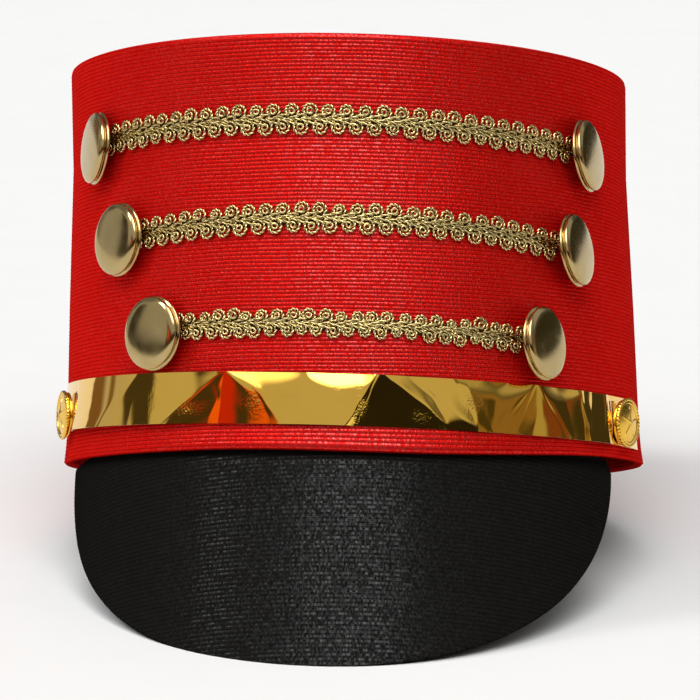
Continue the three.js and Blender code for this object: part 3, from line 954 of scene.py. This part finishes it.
def ring_line():
    """One length of yarn laid flat: up the middle from the left, out of it and round in a ring."""
    ring_foot = ARCH_CENTRE - RING_RADIUS
    line = []
    for step in range(LEG_STEPS):
        share = step / LEG_STEPS
        ease = share * share * (3 - 2 * share)
        lift = YARN_LOW + (YARN_TOP - YARN_LOW) * share
        line.append((LEG_LENGTH * (share - 1), LEG_START + (ring_foot - LEG_START) * ease, lift))
    for step in range(RING_STEPS + 1):
        turn = math.tau * RING_TURNS * step / RING_STEPS
        line.append((RING_RADIUS * math.sin(turn), ARCH_CENTRE - RING_RADIUS * math.cos(turn), YARN_TOP))
    return line


def core_line(strand, length):
    """One strand of the plaited middle laid flat along the whole row."""
    line = []
    for step in range(int(length / CORE_STEP)):
        turn = math.tau * (step * CORE_STEP / CORE_LENGTH + strand / CORE_STRANDS)
        lift = CORE_LIFT + CORE_WEAVE * math.sin(2 * turn)
        line.append((step * CORE_STEP, CORE_SWING * math.sin(turn), lift))
    return line


def laid_at(line, middle, side, scale):
    """A flat line moved along the row, and to one side of the row's middle."""
    return [(middle + along * scale, side * across * scale, lift) for along, across, lift in line]


def braid_row(left, right, left_height, front_height, right_height, pitch, unevenness, chance):
    """All the cords of one row, from under its left button to under its right one."""
    spare = BRAID_END_GAP / between(CROWN_SECTIONS, front_height)
    start = math.radians(left) + spare
    end = math.radians(right) - spare
    length = (end - start) * between(CROWN_SECTIONS, front_height)
    loops = round(length / pitch)
    shape = bmesh.new()
    layer = shape.loops.layers.uv.new("yarn")

    def on_wall(along, across, lift):
        """The angle and the point on the wall of a place on the flat row."""
        share = min(1.0, max(0.0, along / (loops * pitch)))
        angle = start + (end - start) * share
        crest = 2 * front_height - (left_height + right_height) / 2
        middle = (1 - share) ** 2 * left_height + 2 * share * (1 - share) * crest + share**2 * right_height
        return angle, wall_point(angle, middle + across, TRIM_GAP + lift)

    # The tape is a dark sheet under the cords; its dark colour is painted shade in the gaps between the
    # loops.
    bmesh.ops.create_grid(shape, x_segments=loops * TAPE_STEPS, y_segments=TAPE_ROWS, size=1.0)
    under_side = bmesh.ops.extrude_face_region(shape, geom=shape.faces[:], use_keep_orig=True)["geom"]
    for part in under_side:
        if isinstance(part, bmesh.types.BMVert):
            part.co.z = -TAPE_THICKNESS
    for vert in shape.verts:
        turn = loops * (vert.co.x + 1) / 2
        swell = abs(math.cos(math.pi * (turn if vert.co.y > 0 else turn + 0.5)))
        reach = (TAPE_REACH + TAPE_SCALLOP * swell) * vert.co.y
        vert.co = on_wall(turn * pitch, reach, TAPE_LIFT + vert.co.z)[1]
    for face in shape.faces:
        face.material_index = 1

    def add_cord(line, radius, sides, lobe, twist):
        """Lays a flat line on the wall and adds a cord along it."""
        path = []
        outs = []
        for along, across, lift in line:
            angle, point = on_wall(along, across, lift)
            path.append(point)
            outs.append(outward(angle))
        tube_along(shape, path, outs, radius, sides, lobe, twist, layer)

    for strand in range(CORE_STRANDS):
        add_cord(core_line(strand, loops * pitch), YARN_RADIUS, YARN_SIDES, YARN_LOBE, YARN_TWIST)
    for half_loop in range(2 * loops):
        side = 1 if half_loop % 2 else -1
        middle = (half_loop + 0.5) * pitch / 2 + chance.gauss(0, unevenness)
        scale = pitch / BRAID_PITCH * (1 + chance.gauss(0, unevenness * SIZE_UNEVENNESS))
        arch = laid_at(arch_line(), middle, side, scale)
        add_cord(arch, GIMP_RADIUS, GIMP_SIDES, GIMP_LOBE, GIMP_TWIST)
        ring = [place for place in laid_at(ring_line(), middle, side, scale) if place[0] > 0]
        add_cord(ring, YARN_RADIUS, YARN_SIDES, YARN_LOBE, YARN_TWIST)
    ends = [edge for edge in shape.edges if edge.is_boundary]
    bmesh.ops.holes_fill(shape, edges=ends)
    bmesh.ops.recalc_face_normals(shape, faces=shape.faces)
    return shape


gold_yarn, yarn_tree, yarn_shader = new_material(
    "gold_yarn", Metallic=1.0, Specular_Tint=(1.0, 0.6, 0.1, 1.0)
)
yarn_map = add_node(yarn_tree, "ShaderNodeUVMap", uv_map="yarn").outputs[0]
yarn_place = add_node(yarn_tree, "ShaderNodeSeparateXYZ", {"Vector": yarn_map}).outputs
around_yarn = maths(yarn_tree, "MULTIPLY", yarn_place["Y"], 2.0)
ply_turns = maths(yarn_tree, "SUBTRACT", around_yarn, yarn_place["X"])
ply = maths(yarn_tree, "COSINE", maths(yarn_tree, "MULTIPLY", ply_turns, math.tau))
yarn_glint = mottled(yarn_tree, Scale=1300.0, Detail=2.0)
# Painted shade and painted glints: the yarn is darker in the groove between its two plies, and fine random
# glints make it lighter and darker.
yarn_painted_shade_and_glints = maths(
    yarn_tree,
    "MULTIPLY",
    maths(yarn_tree, "MULTIPLY_ADD", ply, PLY_PAINTED_SHADE, PLY_LEVEL),
    maths(yarn_tree, "MULTIPLY_ADD", yarn_glint, GLINT_SHADE, GLINT_LEVEL),
)
yarn_colour = blend_colours(yarn_tree, yarn_painted_shade_and_glints, (0.04, 0.016, 0.0, 1.0), (0.9, 0.75, 0.34, 1.0))
dress(yarn_tree, yarn_shader, yarn_colour, yarn_painted_shade_and_glints, strength=0.8, relief=0.15)
yarn_gloss = maths(yarn_tree, "MULTIPLY_ADD", yarn_glint, YARN_GLOSS, YARN_ROUGHNESS)
yarn_tree.links.new(yarn_gloss, yarn_shader.inputs["Roughness"])
# Painted shade: the tape's dark colour stands for the shade in the gaps between the loops.
yarn_back, tape_tree, tape_shader = new_material("yarn_back", Roughness=0.7, Specular_IOR_Level=0.1)
tape_weave = mottled(tape_tree, Scale=1600.0, Detail=2.0)
tape_colour = blend_colours(tape_tree, tape_weave, (0.01, 0.004, 0.001, 1.0), (0.08, 0.05, 0.012, 1.0))
dress(tape_tree, tape_shader, tape_colour, tape_weave, strength=1.0, relief=0.2)
hand = random.Random(HAND_SEED)
for row_name, *row_sizes in BRAID_ROWS:
    row_mesh = braid_row(*row_sizes, hand)
    yarns = (gold_yarn, yarn_back)
    finish_piece(row_mesh, f"braid_{row_name}_cords", yarns, "gold_braid", f"braid_{row_name}")

# Large buttons: six plain domed buttons of pale gold plate, one on each end of a row of braid. A pressed
# face is rolled over a thin back plate, which leaves a bright bevel and a dark groove behind it, and each
# is sewn on by the shank under it, so it leans away from the braid.
BUTTON_RADIUS = 10.9
BUTTON_SHANK = 2.0
BUTTON_STEPS = 72
BUTTON_SHARP_ANGLE = math.radians(50.0)
BRAID_THICKNESS = 2.0
BUTTON_PROFILE = (  # distance in from the edge, and height over the back plate's foot
    (0.5, 0.0),
    (0.15, 0.1),
    (0.0, 0.4),
    (0.05, 0.75),
    (0.3, 0.95),
    (0.95, 1.05),
    (1.05, 1.2),
    (0.6, 1.45),
    (0.3, 1.8),
    (0.3, 2.15),
    (0.55, 2.5),
    (0.95, 2.75),
    (1.45, 2.95),
    (2.0, 3.08),
    (3.0, 3.2),
    (4.4, 3.32),
    (6.2, 3.42),
    (8.4, 3.48),
)
BUTTON_CROWN = 3.5
BUTTON_PLACES = (  # name, angle, height, lean away from the front, and how far the face tips up
    ("upper_left", -56.2, 91.0, 8.0, 3.0),
    ("upper_right", 53.8, 89.9, 12.0, 6.5),
    ("middle_left", -47.1, 62.5, 0.0, 1.0),
    ("middle_right", 48.2, 60.4, 15.0, 7.0),
    ("lower_left", -37.4, 34.1, 1.0, 0.0),
    ("lower_right", 38.6, 31.7, 17.0, 5.0),
)

pale_gold = plate_material(
    "pale_gold_plate", dull=(0.38, 0.27, 0.1, 1.0), bright=(0.58, 0.44, 0.21, 1.0), gloss=0.07
)
for name, angle, height, lean, tip in BUTTON_PLACES:
    slope = math.tan(math.radians(lean))
    over_braid = BRAID_THICKNESS + 2 * TRIM_GAP - BRAID_END_GAP * slope
    stand_off = max(over_braid, BUTTON_RADIUS * slope)
    foot = TRIM_GAP + BUTTON_SHANK * math.sin(math.radians(lean)) - stand_off
    outline = [(0.0, foot), (BUTTON_SHANK, foot), (BUTTON_SHANK, 0.0)]
    outline += [(BUTTON_RADIUS - inset, rise) for inset, rise in BUTTON_PROFILE]
    outline.append((0.0, BUTTON_CROWN))
    button = turned(outline, BUTTON_STEPS)
    button.transform(Matrix.Rotation(math.radians(-tip), 4, "X"))
    button.transform(seat(angle, height, lean, stand_off))
    piece = finish_piece(button, f"button_{name}_dome", (pale_gold,), "pale_gold", f"button_{name}")
    piece.data.set_sharp_from_angle(angle=BUTTON_SHARP_ANGLE)

# Floor, light and camera: a pale floor in a studio whose walls are painted on the sky. A large soft light
# hangs high in front, left of the middle, and a narrow one at the left. Low in front it is dark, so that
# the foil has something to mirror. The camera was fitted to the photograph.
FLOOR_METRES = 12.0
CAMERA_AZIMUTH = math.radians(1.75)
CAMERA_ELEVATION = math.radians(-4.65)
CAMERA_ROLL = math.radians(0.6)
CAMERA_DISTANCE = 1240.0
CAMERA_TARGET = Vector((-1.6, 0.0, 36.2))
IMAGE_SIZE = 700
FOCAL_PIXELS = 3988.0
SENSOR_WIDTH = 36.0
ROOM_LIGHT = (0.12, 0.12, 0.12, 1.0)
STUDIO = (  # left and right bearing, lower and upper elevation, soft edge, in degrees, and the light there
    (-165.0, -98.0, -20.0, 10.0, 2.0, (0.5, 0.5, 0.5, 1.0)),
    (-141.0, -126.0, -20.0, 10.0, 2.0, (0.2, 0.12, 0.05, 1.0)),
    (-122.5, -119.5, -20.0, 10.0, 1.0, (0.2, 0.13, 0.06, 1.0)),
    (-115.0, 58.0, 8.0, 100.0, 2.0, (0.55, 0.55, 0.55, 1.0)),
    (-140.0, -88.0, 18.0, 100.0, 5.0, (0.25, 0.25, 0.25, 1.0)),
    (-104.5, -95.0, -20.0, 14.0, 1.2, (0.06, 0.05, 0.035, 1.0)),
    (-95.0, -75.0, -20.0, 30.0, 1.2, (0.55, 0.55, 0.55, 1.0)),
    (-95.0, -75.0, -20.0, 4.0, 1.5, (0.06, 0.05, 0.035, 1.0)),
    (-75.0, -10.0, -20.0, 15.0, 2.0, (0.06, 0.045, 0.03, 1.0)),
    (-10.0, 60.0, -20.0, 15.0, 2.0, (0.02, 0.018, 0.015, 1.0)),
    (58.0, 130.0, 10.0, 100.0, 6.0, (0.12, 0.12, 0.12, 1.0)),
    (62.0, 160.0, 28.0, 80.0, 6.0, (0.4, 0.4, 0.4, 1.0)),
    (96.0, 132.0, 16.0, 80.0, 4.0, (0.5, 0.5, 0.5, 1.0)),
    (60.0, 92.0, -20.0, 22.0, 3.0, (0.26, 0.18, 0.1, 1.0)),
    (69.0, 80.0, 11.5, 17.0, 1.5, (0.07, 0.06, 0.03, 1.0)),
    (79.0, 95.0, 1.0, 8.0, 2.0, (0.42, 0.4, 0.3, 1.0)),
    (95.0, 104.0, -20.0, 12.0, 2.0, (0.2, 0.07, 0.03, 1.0)),
    (104.0, 160.0, -20.0, 10.0, 2.0, (0.05, 0.045, 0.025, 1.0)),
    (-73.0, -62.0, 6.5, 12.0, 1.5, (0.9, 0.16, 0.02, 1.0)),
    (-62.0, -48.0, 6.0, 12.0, 1.5, (0.55, 0.03, 0.008, 1.0)),
    (-43.0, -34.0, 11.5, 16.0, 1.5, (0.9, 0.16, 0.02, 1.0)),
    (-60.0, 36.0, 46.0, 78.0, 14.0, (3.2, 3.2, 3.2, 1.0)),
    (-30.0, 36.0, 42.0, 84.0, 8.0, (6.6, 6.6, 6.6, 1.0)),
    (-87.0, -73.0, 34.0, 58.0, 3.0, (13.0, 13.0, 13.0, 1.0)),
)

floor_mesh = bmesh.new()
bmesh.ops.create_grid(floor_mesh, x_segments=1, y_segments=1, size=FLOOR_METRES / 2)
floor_data = bpy.data.meshes.new("floor")
floor_mesh.to_mesh(floor_data)
floor_mesh.free()
floor = bpy.data.objects.new("floor", floor_data)
bpy.context.scene.collection.objects.link(floor)
floor_paint, floor_tree, floor_shader = new_material("floor_paint", Roughness=0.75, Specular_IOR_Level=0.2)
floor_grain = mottled(floor_tree, Scale=30.0, Detail=4.0)
floor_tree.links.new(
    blend_colours(floor_tree, floor_grain, (0.75, 0.75, 0.745, 1.0), (0.78, 0.78, 0.775, 1.0)),
    floor_shader.inputs["Base Color"],
)
floor_data.materials.append(floor_paint)

world = bpy.data.worlds.new("studio")
world.use_nodes = True
world_tree = world.node_tree
world_tree.nodes.clear()
heading = add_node(world_tree, "ShaderNodeTexCoord").outputs["Generated"]
compass = add_node(world_tree, "ShaderNodeSeparateXYZ", {"Vector": heading}).outputs


def within(value, low, high, edge):
    """1 between two limits, 0 outside them, with a smooth edge; all in degrees."""
    steps = []
    for limit in (low, high):
        step = add_node(
            world_tree,
            "ShaderNodeMapRange",
            {
                "Value": value,
                "From Min": math.radians(limit - edge),
                "From Max": math.radians(limit + edge),
            },
            interpolation_type="SMOOTHSTEP",
        )
        steps.append(step.outputs[0])
    return maths(world_tree, "SUBTRACT", *steps)


bearing = maths(world_tree, "ARCTAN2", compass["X"], maths(world_tree, "MULTIPLY", compass["Y"], -1.0))
elevation = maths(world_tree, "ARCSINE", compass["Z"])
sky = ROOM_LIGHT
for left, right, foot, head, edge, light in STUDIO:
    in_patch = maths(
        world_tree,
        "MULTIPLY",
        within(bearing, left, right, edge),
        within(elevation, foot, head, edge),
    )
    sky = blend_colours(world_tree, in_patch, sky, light)
glow = add_node(world_tree, "ShaderNodeBackground", {"Color": sky})
add_node(world_tree, "ShaderNodeOutputWorld", {"Surface": glow.outputs[0]})
bpy.context.scene.world = world
bpy.context.scene.view_settings.view_transform = "Standard"

level = math.cos(CAMERA_ELEVATION)
view_back = Vector((
    math.sin(CAMERA_AZIMUTH) * level,
    -math.cos(CAMERA_AZIMUTH) * level,
    math.sin(CAMERA_ELEVATION),
))
view_right = (-view_back).cross(Vector((0.0, 0.0, 1.0))).normalized()
view_up = view_right.cross(-view_back)
rolled_right = view_right * math.cos(CAMERA_ROLL) + view_up * math.sin(CAMERA_ROLL)
rolled_up = view_up * math.cos(CAMERA_ROLL) - view_right * math.sin(CAMERA_ROLL)
lens = bpy.data.cameras.new("camera")
lens.sensor_width = SENSOR_WIDTH
lens.lens = FOCAL_PIXELS / IMAGE_SIZE * SENSOR_WIDTH
camera = bpy.data.objects.new("camera", lens)
turn_only = Matrix((rolled_right, rolled_up, view_back)).transposed()
eye = cap_place @ (CAMERA_TARGET + view_back * CAMERA_DISTANCE)
camera_turn = Matrix.Rotation(lay_back, 3, "X") @ turn_only
camera.matrix_world = Matrix.Translation(eye) @ camera_turn.to_4x4()
bpy.context.scene.collection.objects.link(camera)
bpy.context.scene.camera = camera
